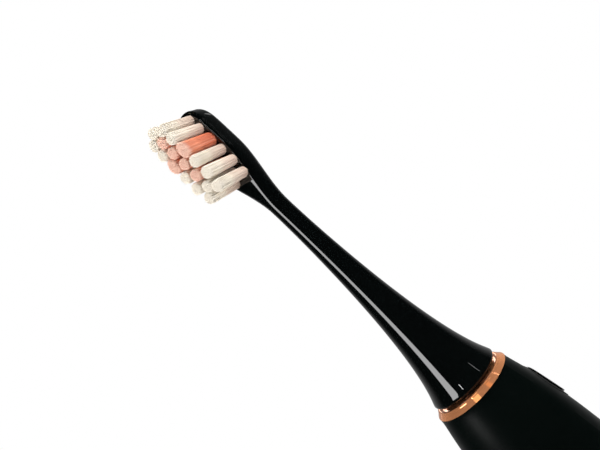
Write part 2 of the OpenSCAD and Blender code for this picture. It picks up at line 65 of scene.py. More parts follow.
# ------------------------------------------------------------------ shader node groups
class Group:
    """A shader node group under construction, with named sockets and short node helpers."""

    def __init__(self, name: str, inputs: dict[str, tuple[str, object]], outputs: dict[str, str]) -> None:
        """Start an empty group.

        Args:
            name: name of the group.
            inputs: socket kind and default value for each input's name.
            outputs: socket kind for each output's name.
        """
        self.tree = bpy.data.node_groups.new(name, "ShaderNodeTree")
        for label, (kind, default) in inputs.items():
            socket = self.tree.interface.new_socket(label, in_out="INPUT", socket_type=kind)
            socket.default_value = default
        for label, kind in outputs.items():
            self.tree.interface.new_socket(label, in_out="OUTPUT", socket_type=kind)
        self.source = self.tree.nodes.new("NodeGroupInput").outputs
        self.sink = self.tree.nodes.new("NodeGroupOutput").inputs

    def node(self, kind: str, settings: dict[str, object] | None = None, **links: object) -> bpy.types.Node:
        """Add a node, set its properties, and fill or link its inputs by name.

        Args:
            kind: node type.
            settings: node properties to set.
            links: input values or sockets, with spaces in names written as underscores.

        Returns:
            The new node.
        """
        return add_node(self.tree, kind, settings, **links)

    def math(self, operation: str, a: object, b: object = 0.0, clamp: bool = False) -> bpy.types.NodeSocket:
        """Add a Math node.

        Args:
            operation: Math operation.
            a: first value or socket.
            b: second value or socket.
            clamp: whether the result is kept in 0 to 1.

        Returns:
            The node's value.
        """
        node = self.tree.nodes.new("ShaderNodeMath")
        node.operation = operation
        node.use_clamp = clamp
        plug(self.tree, a, node.inputs[0])
        plug(self.tree, b, node.inputs[1])
        return node.outputs[0]


def plug(tree: bpy.types.NodeTree, value: object, socket: bpy.types.NodeSocket) -> None:
    """Link a socket to another one, or set its value.

    Args:
        tree: node tree that holds the socket.
        value: a socket to link from, or a plain value.
        socket: the input to fill.
    """
    if isinstance(value, bpy.types.NodeSocket):
        tree.links.new(value, socket)
    else:
        socket.default_value = value


def add_node(tree: bpy.types.NodeTree, kind: str, settings: dict[str, object] | None = None,
             **links: object) -> bpy.types.Node:
    """Add a node to a tree, set its properties, and fill or link its inputs by name.

    Args:
        tree: node tree that receives the node.
        kind: node type.
        settings: node properties to set.
        links: input values or sockets, with spaces in names written as underscores.

    Returns:
        The new node.
    """
    node = tree.nodes.new(kind)
    for key, value in (settings or {}).items():
        setattr(node, key, value)
    for label, value in links.items():
        plug(tree, value, node.inputs[label.replace("_", " ")])
    return node


FLOAT, COLOUR = "NodeSocketFloat", "NodeSocketColor"


def grain_group() -> bpy.types.NodeTree:
    """Fine moulding grain and slow tone drift: Height and Tone in 0 to 1.

    Returns:
        The group's node tree.
    """
    g = Group("surface_grain", {"Scale": (FLOAT, 900.0), "Drift Scale": (FLOAT, 60.0)},
              {"Height": FLOAT, "Tone": FLOAT})
    place = g.node("ShaderNodeTexCoord").outputs["Object"]
    fine = g.node("ShaderNodeTexNoise", Vector=place, Scale=g.source["Scale"], Detail=3.0, Roughness=0.6)
    drift = g.node("ShaderNodeTexNoise", Vector=place, Scale=g.source["Drift Scale"], Detail=4.0, Roughness=0.55)
    g.tree.links.new(fine.outputs["Fac"], g.sink["Height"])
    g.tree.links.new(drift.outputs["Fac"], g.sink["Tone"])
    return g.tree


def wear_group() -> bpy.types.NodeTree:
    """Rubbed edges, broken up by noise: Mask in 0 to 1.

    Returns:
        The group's node tree.
    """
    g = Group("edge_wear", {"Radius": (FLOAT, 0.0003), "Amount": (FLOAT, 0.5), "Scale": (FLOAT, 700.0)},
              {"Mask": FLOAT})
    soft = g.node("ShaderNodeBevel", {"samples": 4}, Radius=g.source["Radius"]).outputs["Normal"]
    hard = g.node("ShaderNodeNewGeometry").outputs["Normal"]
    dot = g.node("ShaderNodeVectorMath", {"operation": "DOT_PRODUCT"})
    g.tree.links.new(soft, dot.inputs[0])
    g.tree.links.new(hard, dot.inputs[1])
    edge_gain, patch_floor, patch_gain = 6.0, 0.35, 2.5
    edge = g.math("MULTIPLY", g.math("SUBTRACT", 1.0, dot.outputs["Value"]), edge_gain, clamp=True)
    place = g.node("ShaderNodeTexCoord").outputs["Object"]
    patch = g.node("ShaderNodeTexNoise", Vector=place, Scale=g.source["Scale"], Detail=4.0)
    above = g.math("SUBTRACT", patch.outputs["Fac"], patch_floor)
    broken = g.math("MULTIPLY", above, patch_gain, clamp=True)
    mask = g.math("MULTIPLY", g.math("MULTIPLY", edge, broken), g.source["Amount"], clamp=True)
    g.tree.links.new(mask, g.sink["Mask"])
    return g.tree


def smudge_group() -> bpy.types.NodeTree:
    """Faint finger smudges and dust specks: Smudge and Dust masks in 0 to 1.

    Returns:
        The group's node tree.
    """
    g = Group("smudges", {"Scale": (FLOAT, 120.0), "Dust Scale": (FLOAT, 2600.0)},
              {"Smudge": FLOAT, "Dust": FLOAT})
    place = g.node("ShaderNodeTexCoord").outputs["Object"]
    cloud = g.node("ShaderNodeTexNoise", Vector=place, Scale=g.source["Scale"], Detail=6.0, Roughness=0.62,
                   Distortion=0.6)
    cloud_floor, cloud_gain, speck_size = 0.45, 4.0, 0.085
    above = g.math("SUBTRACT", cloud.outputs["Fac"], cloud_floor)
    smear = g.math("MULTIPLY", above, cloud_gain, clamp=True)
    cells = g.node("ShaderNodeTexVoronoi", Vector=place, Scale=g.source["Dust Scale"])
    speck = g.math("LESS_THAN", cells.outputs["Distance"], speck_size)
    g.tree.links.new(smear, g.sink["Smudge"])
    g.tree.links.new(g.math("MULTIPLY", speck, smear), g.sink["Dust"])
    return g.tree


def turned_group() -> bpy.types.NodeTree:
    """Fine rings left by turning, round the Z axis: Height in 0 to 1.

    Returns:
        The group's node tree.
    """
    g = Group("turned_rings", {"Scale": (FLOAT, 4000.0)}, {"Height": FLOAT})
    place = g.node("ShaderNodeTexCoord").outputs["Object"]
    split = g.node("ShaderNodeSeparateXYZ", Vector=place)
    radius = g.node("ShaderNodeVectorMath", {"operation": "LENGTH"})
    flat = g.node("ShaderNodeCombineXYZ", X=split.outputs["X"], Y=split.outputs["Y"])
    g.tree.links.new(flat.outputs[0], radius.inputs[0])
    ring = g.node("ShaderNodeCombineXYZ", X=radius.outputs["Value"], Z=split.outputs["Z"])
    lines = g.node("ShaderNodeTexNoise", Vector=ring.outputs[0], Scale=g.source["Scale"], Detail=2.0)
    g.tree.links.new(lines.outputs["Fac"], g.sink["Height"])
    return g.tree


def tracks_group() -> bpy.types.NodeTree:
    """Copper tracks and pads under solder mask: Track mask in 0 to 1.

    Returns:
        The group's node tree.
    """
    g = Group("board_tracks", {"Scale": (FLOAT, 500.0)}, {"Track": FLOAT})
    place = g.node("ShaderNodeTexCoord").outputs["Object"]
    bricks = g.node("ShaderNodeTexBrick", {"offset": 0.37}, Vector=place, Scale=g.source["Scale"],
                    Mortar_Size=0.07, Mortar_Smooth=0.2)
    g.tree.links.new(bricks.outputs["Fac"], g.sink["Track"])
    return g.tree


class Effect(Enum):
    """The shared surface effects."""

    GRAIN = "surface_grain"
    WEAR = "edge_wear"
    SMUDGE = "smudges"
    TURNED = "turned_rings"
    TRACKS = "board_tracks"

    def tree(self) -> bpy.types.NodeTree:
        """Build the effect's node group the first time.

        Returns:
            The group's node tree.
        """
        makers = {Effect.GRAIN: grain_group, Effect.WEAR: wear_group, Effect.SMUDGE: smudge_group,
                  Effect.TURNED: turned_group, Effect.TRACKS: tracks_group}
        return bpy.data.node_groups.get(self.value) or makers[self]()


# ------------------------------------------------------------------ finishes
class MaterialTree:
    """A material's node tree with its Principled shader, and helpers to feed it."""

    def __init__(self, name: str) -> None:
        """Make an empty material with one Principled shader.

        Args:
            name: name of the material.
        """
        self.material = bpy.data.materials.new(name)
        self.material.use_nodes = True
        self.tree = self.material.node_tree
        self.shader = next(n for n in self.tree.nodes if n.type == "BSDF_PRINCIPLED")

    def effect(self, effect: Effect, **values: object) -> bpy.types.NodeSocket:
        """Place a shared effect's group.

        Args:
            effect: the effect to place.
            values: input values or sockets, with spaces in names written as underscores.

        Returns:
            The group's outputs.
        """
        node = self.tree.nodes.new("ShaderNodeGroup")
        node.node_tree = effect.tree()
        for label, value in values.items():
            plug(self.tree, value, node.inputs[label.replace("_", " ")])
        return node.outputs

    def mix(self, factor: object, a: object, b: object) -> bpy.types.NodeSocket:
        """Mix two colours by a factor.

        Args:
            factor: 0 for the first colour, 1 for the second.
            a: first colour or socket.
            b: second colour or socket.

        Returns:
            The mixed colour.
        """
        node = add_node(self.tree, "ShaderNodeMix", {"data_type": "RGBA"})
        plug(self.tree, factor, node.inputs[0])
        plug(self.tree, a, node.inputs[6])
        plug(self.tree, b, node.inputs[7])
        return node.outputs[2]

    def span(self, value: object, low: float, high: float) -> bpy.types.NodeSocket:
        """Map a 0 to 1 value to low to high."""
        node = add_node(self.tree, "ShaderNodeMapRange", Value=value, To_Min=low, To_Max=high)
        return node.outputs["Result"]

    def math(self, operation: str, a: object, b: object) -> bpy.types.NodeSocket:
        """Add a Math node.

        Args:
            operation: Math operation.
            a: first value or socket.
            b: second value or socket.

        Returns:
            The node's value.
        """
        node = add_node(self.tree, "ShaderNodeMath", {"operation": operation})
        plug(self.tree, a, node.inputs[0])
        plug(self.tree, b, node.inputs[1])
        return node.outputs[0]

    def bump(self, height: object, depth: float, under: object = None) -> bpy.types.NodeSocket:
        """Add a Bump node.

        Args:
            height: height in 0 to 1.
            depth: depth in metres.
            under: normal that the bump is laid over.

        Returns:
            The bumped normal.
        """
        node = add_node(self.tree, "ShaderNodeBump", Height=height, Distance=depth, Strength=1.0)
        if under is not None:
            plug(self.tree, under, node.inputs["Normal"])
        return node.outputs["Normal"]

    def feed(self, **values: object) -> None:
        """Set or link the shader's inputs by name."""
        for label, value in values.items():
            plug(self.tree, value, self.shader.inputs[label.replace("_", " ")])


def shade(colour: Colour, gain: float) -> tuple[float, float, float, float]:
    """Return a colour scaled by gain, kept in range, with full alpha."""
    return tuple(min(1.0, max(0.0, c * gain)) for c in colour) + (1.0,)


@dataclass(frozen=True)
class Finish:
    """A plain finish: grain, tone drift, smudges and rubbed edges over one colour.

    Args:
        name: name of the finish.
        colour: base colour, linear.
        roughness: lowest roughness; smudges add to it.
        smear: roughness that smudges add.
        metallic: 1 for bare metal.
        specular: specular level.
        coat: weight of a clear coat.
        coat_roughness: roughness of that coat.
        grain: grain features per metre.
        depth: depth of the grain, in metres.
        drift: share by which the tone drifts.
        rub: weight of rubbed edges.
        rub_gain: brightness of a rubbed edge against the base.
        dust: weight of dust specks.
        rings: depth of turned rings, in metres.
        see_through: weight of light let through.
    """

    name: str
    colour: Colour
    roughness: float
    smear: float = 0.08
    metallic: float = 0.0
    specular: float = 0.5
    coat: float = 0.0
    coat_roughness: float = 0.04
    grain: float = 1500.0
    depth: float = 0.000004
    drift: float = 0.08
    rub: float = 0.3
    rub_gain: float = 1.6
    dust: float = 0.0
    rings: float = 0.0
    see_through: float = 0.0

    def material(self) -> bpy.types.Material:
        """Return the finish's material, building it the first time."""
        return bpy.data.materials.get(f"{self.name}_finish") or self.build().material

    def build(self) -> MaterialTree:
        """Build the material.

        Returns:
            The material's tree, ready for a subclass to add to.
        """
        m = MaterialTree(f"{self.name}_finish")
        grain = m.effect(Effect.GRAIN, Scale=self.grain)
        smudge = m.effect(Effect.SMUDGE)
        worn = m.effect(Effect.WEAR, Amount=self.rub)["Mask"]
        tone = m.mix(grain["Tone"], shade(self.colour, 1 - self.drift), shade(self.colour, 1 + self.drift))
        rubbed = m.mix(worn, tone, shade(self.colour, self.rub_gain))
        dusty = m.mix(m.math("MULTIPLY", smudge["Dust"], self.dust), rubbed, DUST_COLOUR)
        rough = m.span(smudge["Smudge"], self.roughness, self.roughness + self.smear)
        normal = m.bump(grain["Height"], self.depth)
        if self.rings:
            normal = m.bump(m.effect(Effect.TURNED)["Height"], self.rings, normal)
        m.feed(Base_Color=dusty, Roughness=rough, Normal=normal)
        m.feed(Metallic=self.metallic, Specular_IOR_Level=self.specular, Coat_Weight=self.coat,
               Coat_Roughness=self.coat_roughness, Transmission_Weight=self.see_through)
        return m


@dataclass(frozen=True)
class BoardFinish(Finish):
    """Solder mask with copper tracks showing through."""

    track_gain: float = 2.2

    def build(self) -> MaterialTree:
        """Build the material, with tracks over the plain finish.

        Returns:
            The material's tree.
        """
        m = super().build()
        under = m.shader.inputs["Base Color"].links[0].from_socket
        track = m.effect(Effect.TRACKS)["Track"]
        m.feed(Base_Color=m.mix(track, under, shade(self.colour, self.track_gain)))
        return m


@dataclass(frozen=True)
class WindingFinish(Finish):
    """Enamelled wire: each turn's tone varies a little along the winding."""

    pitch: float = 0.4 * MM
    turn_gain: tuple[float, float] = (0.8, 1.15)

    def build(self) -> MaterialTree:
        """Build the material, with a tone for each turn.

        Returns:
            The material's tree.
        """
        m = super().build()
        place = add_node(m.tree, "ShaderNodeTexCoord").outputs["Object"]
        split = add_node(m.tree, "ShaderNodeSeparateXYZ", Vector=place)
        turn = m.math("FLOOR", m.math("DIVIDE", split.outputs["Z"], self.pitch), 0.0)
        tone = add_node(m.tree, "ShaderNodeTexWhiteNoise", {"noise_dimensions": "1D"}, W=turn)
        dark, light = (shade(self.colour, gain) for gain in self.turn_gain)
        m.feed(Base_Color=m.mix(tone.outputs["Value"], dark, light))
        return m


@dataclass(frozen=True)
class FilamentFinish(Finish):
    """Nylon filaments: painted shade darkening the root, a painted highlight paling the tip, and a tone of its
    own for each filament.
    """

    # root is a painted shade colour near the plate; tip is a painted highlight colour at the free end.
    root: Colour = (0.5, 0.45, 0.4)
    tip: Colour = (0.9, 0.88, 0.84)
    # Spans along the filament over which the painted root shade fades out and the painted tip highlight fades
    # in.
    root_fade: tuple[float, float] = (-0.1, 2.4)
    tip_fade: tuple[float, float] = (0.78, 1.0)
    own_share: float = 0.35

    def build(self) -> MaterialTree:
        """Build the material from the filaments' own tone attribute.

        Returns:
            The material's tree.
        """
        m = MaterialTree(f"{self.name}_finish")
        tone = add_node(m.tree, "ShaderNodeVertexColor", {"layer_name": "filament"})
        split = add_node(m.tree, "ShaderNodeSeparateColor", Color=tone.outputs["Color"])
        along = split.outputs["Green"]
        # Painted shade: the colour darkens towards the root, by the position along the filament.
        low = m.mix(m.span(along, *self.root_fade), shade(self.root, 1.0), shade(self.colour, 1.0))
        # Painted highlight: the colour pales towards the tip.
        high = add_node(m.tree, "ShaderNodeMapRange", Value=along, From_Min=self.tip_fade[0],
                        From_Max=self.tip_fade[1])
        body = m.mix(high.outputs["Result"], low, shade(self.tip, 1.0))
        # Each filament's own random tone leans towards the painted highlight colour of the tip.
        varied = m.mix(split.outputs["Red"], body, shade(self.tip, 1.0))
        own = m.mix(m.span(split.outputs["Red"], 0.0, self.own_share), body, varied)
        grain = m.effect(Effect.GRAIN, Scale=self.grain)
        m.feed(Base_Color=own, Roughness=m.span(grain["Tone"], self.roughness, self.roughness + self.smear),
               Normal=m.bump(grain["Height"], self.depth), Specular_IOR_Level=self.specular)
        return m


class Finishes:
    """Every finish on the object, by the record's material slot."""

    soft_touch_black = Finish("soft_touch_black", (0.0012, 0.0024, 0.0021), 0.33, smear=0.05, specular=0.11,
                              grain=4200, depth=0.000003, drift=0.12, rub=0.15, rub_gain=2.2, dust=0.05)
    gloss_black = Finish("gloss_black", (0.0013, 0.0019, 0.0019), 0.02, smear=0.015, specular=0.8, grain=260,
                         depth=0.0000005, rub=0.08, rub_gain=3.0, dust=0.02)
    charger_plastic = Finish("charger_plastic", (0.02, 0.02, 0.021), 0.5, grain=2600, depth=0.00001, dust=0.15)
    rose_gold = Finish("rose_gold", (0.95, 0.38, 0.165), 0.05, smear=0.04, metallic=0.7, grain=500,
                       depth=0.0000008, drift=0.03, rub=0.4, rub_gain=1.25, rings=0.0000009)
    black_rubber = Finish("black_rubber", (0.016, 0.016, 0.016), 0.62, specular=0.3, grain=3200, depth=0.000012,
                          dust=0.25)
    red_rubber = Finish("red_rubber", (0.36, 0.03, 0.02), 0.55, specular=0.35, grain=3000, depth=0.00001)
    copper_wire = WindingFinish("copper_wire", (0.62, 0.2, 0.06), 0.25, coat=0.6, metallic=0.85, rub=0.2)
    steel = Finish("steel", (0.56, 0.57, 0.59), 0.2, metallic=1.0, rings=0.000002, rub=0.4, rub_gain=1.3)
    bronze = Finish("bronze", (0.55, 0.36, 0.13), 0.36, metallic=1.0, grain=5200, depth=0.000008, rub=0.5)
    magnet = Finish("magnet", (0.42, 0.42, 0.43), 0.22, metallic=1.0, drift=0.05, rub=0.5)
    core_iron = Finish("core_iron", (0.2, 0.2, 0.21), 0.42, metallic=1.0, grain=2200, depth=0.00001, rub=0.5)
    ferrite = Finish("ferrite", (0.03, 0.028, 0.028), 0.6, grain=4800, depth=0.00002, rub=0.5)
    board_green = BoardFinish("board_green", (0.006, 0.075, 0.025), 0.3, coat=0.3, grain=2400)
    chip_black = Finish("chip_black", (0.018, 0.018, 0.02), 0.45, grain=5000, depth=0.000008)
    nickel = Finish("nickel", (0.66, 0.63, 0.55), 0.24, metallic=1.0, grain=1200, depth=0.000004)
    cell_wrap = Finish("cell_wrap", (0.015, 0.09, 0.3), 0.28, coat=0.4, grain=900, depth=0.000006, drift=0.12)
    grey_foam = Finish("grey_foam", (0.08, 0.08, 0.08), 0.85, specular=0.2, grain=3600, depth=0.00008)
    white_plastic = Finish("white_plastic", (0.62, 0.61, 0.56), 0.38, grain=1800, depth=0.000006)
    grey_plastic = Finish("grey_plastic", (0.2, 0.2, 0.195), 0.48, grain=2200, depth=0.00001)
    motor_can = Finish("motor_can", (0.5, 0.5, 0.52), 0.28, metallic=1.0, rings=0.000004, rub=0.4)
    smoke_lens = Finish("smoke_lens", (0.06, 0.06, 0.062), 0.08, specular=0.5, see_through=0.5, rub=0.1)
    led_white = Finish("led_white", (0.8, 0.8, 0.66), 0.15, coat=0.5)
    flex_amber = Finish("flex_amber", (0.5, 0.2, 0.03), 0.3, coat=0.3, drift=0.15)
    lead_red = Finish("lead_red", (0.4, 0.02, 0.015), 0.35, drift=0.1)
    # In each bristle finish, root is a painted shade colour and tip a painted highlight colour.
    bristle_white = FilamentFinish("bristle_white", (0.86, 0.78, 0.66), 0.42, specular=0.35, depth=0.000002,
                                   root=(0.66, 0.5, 0.41), tip=(0.94, 0.88, 0.78))
    bristle_pink = FilamentFinish("bristle_pink", (0.82, 0.3, 0.17), 0.42, specular=0.35, depth=0.000002,
                                  root=(0.62, 0.16, 0.08), tip=(0.95, 0.68, 0.56))

    @classmethod
    def of(cls, slot: str) -> Finish:
        """Return the finish of a material slot."""
        return getattr(cls, slot)


# ------------------------------------------------------------------ mesh helpers
def bezier(points: Iterable[tuple[float, float]], steps: int) -> Profile:
    """Return points along a cubic curve through four control points.

    Args:
        points: the four control points.
        steps: number of steps along the curve.

    Returns:
        The points, both ends included.
    """
    p = [Vector(q) for q in points]
    out = []
    for i in range(steps + 1):
        t = i / steps
        q = (1 - t) ** 3 * p[0] + 3 * (1 - t) ** 2 * t * p[1] + 3 * (1 - t) * t * t * p[2] + t ** 3 * p[3]
        out.append((q.x, q.y))
    return out


def arc(centre: tuple[float, float], radius: float, start: float, end: float, steps: int) -> Profile:
    """Return points along an arc, from start to end in degrees."""
    angles = (math.radians(start + (end - start) * i / steps) for i in range(steps + 1))
    return [(centre[0] + radius * math.cos(a), centre[1] + radius * math.sin(a)) for a in angles]


def smooth_step(low: float, high: float, value: float) -> float:
    """Rise smoothly from 0 at low to 1 at high."""
    t = min(1.0, max(0.0, (value - low) / (high - low)))
    return t * t * (3 - 2 * t)


def make_object(name: str, mesh: bmesh.types.BMesh, finish: Finish, sharp: float = 35.0) -> bpy.types.Object:
    """Turn a bmesh into a smooth-shaded object with one finish.

    Args:
        name: name of the piece.
        mesh: the bmesh, which is freed.
        finish: the piece's finish.
        sharp: angle in degrees above which an edge stays sharp.

    Returns:
        The new object.
    """
    bmesh.ops.recalc_face_normals(mesh, faces=mesh.faces)
    data = bpy.data.meshes.new(name)
    mesh.to_mesh(data)
    mesh.free()
    data.materials.append(finish.material())
    data.shade_smooth()
    data.set_sharp_from_angle(angle=math.radians(sharp))
    piece = bpy.data.objects.new(name, data)
    bpy.context.scene.collection.objects.link(piece)
    return piece


def add_rings(mesh: bmesh.types.BMesh, rings: list[list[Vector]]) -> None:
    """Skin a list of rings of equal count; rings with one point become poles.

    Args:
        mesh: the bmesh that receives the faces.
        rings: rings of points in order.
    """
    made = [[mesh.verts.new(p) for p in ring] for ring in rings]
    for a, b in zip(made, made[1:]):
        count = max(len(a), len(b))
        for k in range(count):
            j = (k + 1) % count
            if len(a) == 1:
                mesh.faces.new((a[0], b[k], b[j]))
            elif len(b) == 1:
                mesh.faces.new((a[k], b[0], a[j]))
            else:
                mesh.faces.new((a[k], b[k], b[j], a[j]))


def circle_ring(radius: float, z: float, sides: int) -> list[Vector]:
    """Return a ring of points round the Z axis, or one point where the radius is nil.

    Args:
        radius: radius of the ring.
        z: its height.
        sides: how many points it has.

    Returns:
        The points in order.
    """
    if radius < POLE_RADIUS:
        return [Vector((0, 0, z))]
    return [Vector((radius * math.cos(a), radius * math.sin(a), z))
            for a in (2 * math.pi * k / sides for k in range(sides))]


# ------------------------------------------------------------------ sub-assemblies
class SubAssembly:
    """A group of pieces that is built, dressed and hung on the frame's bodies."""

    body = ""

    def place(self, piece: bpy.types.Object, slot: str, node: str) -> None:
        """Ride a new piece on the body, hide the CAD node that it replaces, and log its slot.

        Args:
            piece: the new piece.
            slot: material slot of the record.
            node: CAD node that it stands for.
        """
        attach(piece, self.body)
        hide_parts(node)
        log.info("piece %s: %d faces, finish %s", piece.name, len(piece.data.polygons), slot)

    def dress(self, *nodes: str) -> None:
        """Give CAD nodes that stay the finish of their record slot.

        Args:
            nodes: names of the nodes.
        """
        slots = {s["node"]: s["material_slot"] for s in frame["record"]["subparts"]}
        for node in nodes:
            data = frame["nodes"][node].data
            data.materials.clear()
            data.materials.append(Finishes.of(slots[node]).material())
            log.info("node %s: finish %s", node, slots[node])

    def build(self) -> None:
        """Build and dress every piece."""
        raise NotImplementedError


class Row(Enum):
    """The two colours of tufts."""

    WHITE = "bristle_white"
    PINK = "bristle_pink"


@dataclass
class Tuft:
    """One bundle of filaments, at x across and z up the plate; long is its extra half length along the head."""

    x: float
    z: float
    colour: Row
    long: float = 0.0


@dataclass
class BrushHead(SubAssembly):
    """The clip-on head: a glossy shell and its tufts of filaments.

    Heights are from the skirt's lower edge; widen_from and widen_to are from the waist. Pulls are a curve's
    control points. lean, dome and ragged are in millimetres.
    """

    neck_r: float = 2.25 * MM
    waist_h: float = 50.5 * MM
    skirt_pull: tuple[float, float] = (3 * MM, 11.5 * MM)
    neck_pull_h: float = 43 * MM
    widen_from: float = 1.3 * MM
    widen_to: float = 18.2 * MM
    lip_r: float = 0.9 * MM
    plate_w: float = 9 * MM
    plate_front: float = 2.8 * MM
    plate_back: float = 3 * MM
    cap_len: float = 10 * MM
    cap_power: float = 5.3
    cap_least: float = 0.02
    cap_front_power: float = 0.25
    cap_back_power: float = 0.6
    cap_offset: float = 0.3 * MM
    front_corner: float = 0.9 * MM
    back_corner: float = 2.2 * MM
    wall: float = 1.3 * MM
    hollow_least: float = 0.6
    sides: int = 96
    lip_steps: int = 10
    neck_steps: int = 60
    hollow_steps: int = 26
    plate_steps: int = 64
    plate_spacing: float = 0.9
    tuft_r: float = 1.2 * MM
    tuft_pitch: float = 3.3 * MM
    row_pitch: float = 2.35 * MM
    first_row: float = 5.7 * MM
    end_white: float = 4.1 * MM
    end_pink: float = 1.35 * MM
    end_side: tuple[float, float] = (2.05 * MM, 2.75 * MM)
    low_side: float = 1.8 * MM
    pink_long: float = 0.5 * MM
    root_sink: float = 0.6 * MM
    filament_r: float = 0.1 * MM
    filament_sides: int = 6
    filament_end: tuple[float, float] = (0.6, 0.86)
    filaments: int = 140
    flare: float = 1.12
    droop: float = 0.3 * MM
    lean: float = 0.05
    dome: float = 0.35
    dome_power: int = 4
    ragged: float = 0.06
    seed: int = 7
    body: str = "brush_head"

    def __post_init__(self) -> None:
        """Take the head's place from the frame."""
        low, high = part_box("head_shell")
        self.skirt_z, self.tip_z, self.skirt_r = low.z, high.z, high.x
        self.tuft_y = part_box("tufts_white")[0].y

    def widen(self, z: float) -> float:
        """Return 0 on the round neck, rising to 1 on the flat plate."""
        start = self.skirt_z + self.waist_h
        return smooth_step(start + self.widen_from, start + self.widen_to, z)

    def end_round(self, z: float) -> float:
        """Return 1 below the plate's rounded end, falling to nearly 0 at its tip."""
        s = max(0.0, 1 - (self.tip_z - z) / self.cap_len)
        return math.sqrt(max(self.cap_least ** 2, 1 - s ** self.cap_power))

    def section(self, z: float) -> list[Vector]:
        """Return the outline of the neck or plate at one height, with rounded corners.

        Args:
            z: height of the outline.

        Returns:
            The points in order.
        """
        wide, end = self.widen(z), self.end_round(z)
        half = (self.neck_r + (self.plate_w / 2 - self.neck_r) * wide) * end
        front = (self.neck_r + (self.plate_front - self.neck_r) * wide) * end ** self.cap_front_power
        back = (self.neck_r + (self.plate_back - self.neck_r) * wide) * end ** self.cap_back_power
        ring = []
        per = self.sides // 4
        for k in range(self.sides):
            angle = math.pi / 2 * ((k // per) + (k % per + 0.5) / per)
            c, s = math.cos(angle), math.sin(angle)
            depth, corner = (front, self.front_corner) if s < 0 else (back, self.back_corner)
            radius = min(half, depth, self.neck_r + (corner - self.neck_r) * wide)
            x = math.copysign(half - radius, c) + c * radius
            y = math.copysign(depth - radius, s) + s * radius
            ring.append(Vector((x, y, z)))
        return ring

    def build_shell(self) -> None:
        """Build the shell as one closed skin: skirt, neck, plate and the hollow in the skirt."""
        mesh = bmesh.new()
        neck = bezier([(self.skirt_r, self.lip_r), self.skirt_pull, (self.neck_r, self.neck_pull_h),
                       (self.neck_r, self.waist_h)], self.neck_steps)
        lip = arc((self.skirt_r - self.lip_r, self.lip_r), self.lip_r, -90, -6, self.lip_steps)
        least = self.neck_r * self.hollow_least
        inner = [(max(least, r - self.wall), h) for r, h in neck[:self.hollow_steps]]
        hollow = list(reversed(inner)) + [(self.skirt_r - self.wall, 0)]
        profile = [(0, inner[-1][1])] + hollow + lip + neck[1:-1]
        rings = [circle_ring(r, self.skirt_z + h, self.sides) for r, h in profile]
        start = self.skirt_z + self.waist_h
        for i in range(self.plate_steps + 1):
            turn = math.pi / 2 * (i / self.plate_steps) ** self.plate_spacing
            rings.append(self.section(start + (self.tip_z - start) * math.sin(turn)))
        rings.append([Vector((0, -self.cap_offset, self.tip_z))])
        add_rings(mesh, rings)
        shell = make_object("brush_head_shell", mesh, Finishes.gloss_black, sharp=50)
        self.place(shell, "gloss_black", "head_shell")

    def tufts(self) -> list[Tuft]:
        """Return the places of all tufts.

        Returns:
            The tufts, centre row first.
        """
        top, pitch, row = self.tip_z - self.first_row, self.tuft_pitch, self.row_pitch
        places = [Tuft(0, top + self.end_white, Row.WHITE), Tuft(0, top - 3.5 * pitch, Row.WHITE),
                  Tuft(0, top + self.end_pink, Row.PINK)]
        places += [Tuft(0, top - (i + 0.5) * pitch, Row.PINK) for i in range(3)]
        for side in (-1, 1):
            places.append(Tuft(side * self.end_side[0], top + self.end_side[1], Row.WHITE))
            places.append(Tuft(side * row, top, Row.WHITE))
            places.append(Tuft(side * row, top - pitch, Row.PINK, self.pink_long))
            places.append(Tuft(side * row, top - 2 * pitch, Row.WHITE))
            places.append(Tuft(side * row, top - 3 * pitch, Row.WHITE))
            places.append(Tuft(side * self.low_side, top - 4 * pitch, Row.WHITE))
        return places

    def filament(self, mesh: bmesh.types.BMesh, layer: object, root: Vector, tip: Vector, tone: float) -> None:
        """Add one filament with a rounded end.

        Args:
            mesh: the bmesh that receives it.
            layer: colour layer that holds its tone.
            root: where it leaves the plate.
            tip: its free end.
            tone: its own tone, 0 to 1.
        """
        r, sides = self.filament_r, self.filament_sides
        along = tip - root
        end_len, end_scale = self.filament_end
        stations = [(0.0, 1.0), (0.5, 1.0), (1 - end_len * r / along.length, end_scale)]
        rings = []
        for share, scale in stations:
            centre = root + along * share
            rings.append([centre + Vector((r * scale * math.cos(a), 0, r * scale * math.sin(a)))
                          for a in (2 * math.pi / sides * k for k in range(sides))])
        first = len(mesh.faces)
        add_rings(mesh, rings + [[tip]])
        mesh.faces.ensure_lookup_table()
        for face in mesh.faces[first:]:
            for loop in face.loops:
                share = (loop.vert.co - root).length / along.length
                loop[layer] = (tone, share, 0.0, 1.0)

    def build_tufts(self, colour: Row, node: str) -> None:
        """Build every tuft of one colour as separate filaments.

        Args:
            colour: which tufts to build.
            node: the CAD node they stand for.
        """
        rng = random.Random(self.seed + len(colour.value))
        mesh = bmesh.new()
        layer = mesh.loops.layers.color.new("filament")
        golden = math.pi * (3 - math.sqrt(5))
        for tuft in (t for t in self.tufts() if t.colour is colour):
            stretch = 1 + tuft.long / self.tuft_r
            count = round(self.filaments * stretch)
            for k in range(count):
                rim = math.sqrt((k + 0.5) / count)
                u = (self.tuft_r - self.filament_r) * rim * math.cos(k * golden)
                v = (self.tuft_r - self.filament_r) * rim * math.sin(k * golden) * stretch
                root = Vector((tuft.x + u, -self.plate_front + self.root_sink, tuft.z + v))
                lean = Vector((rng.gauss(0, self.lean), 0, rng.gauss(0, self.lean))) * MM
                tip = Vector((tuft.x + u * self.flare, self.tuft_y, tuft.z + v * self.flare)) + lean
                tip.y += (self.dome * rim ** self.dome_power + abs(rng.gauss(0, self.ragged))) * MM
                tip.z -= self.droop
                self.filament(mesh, layer, root, tip, rng.random())
        finish = Finishes.of(colour.value)
        piece = make_object(f"{node}_filaments", mesh, finish, sharp=80)
        self.place(piece, colour.value, node)

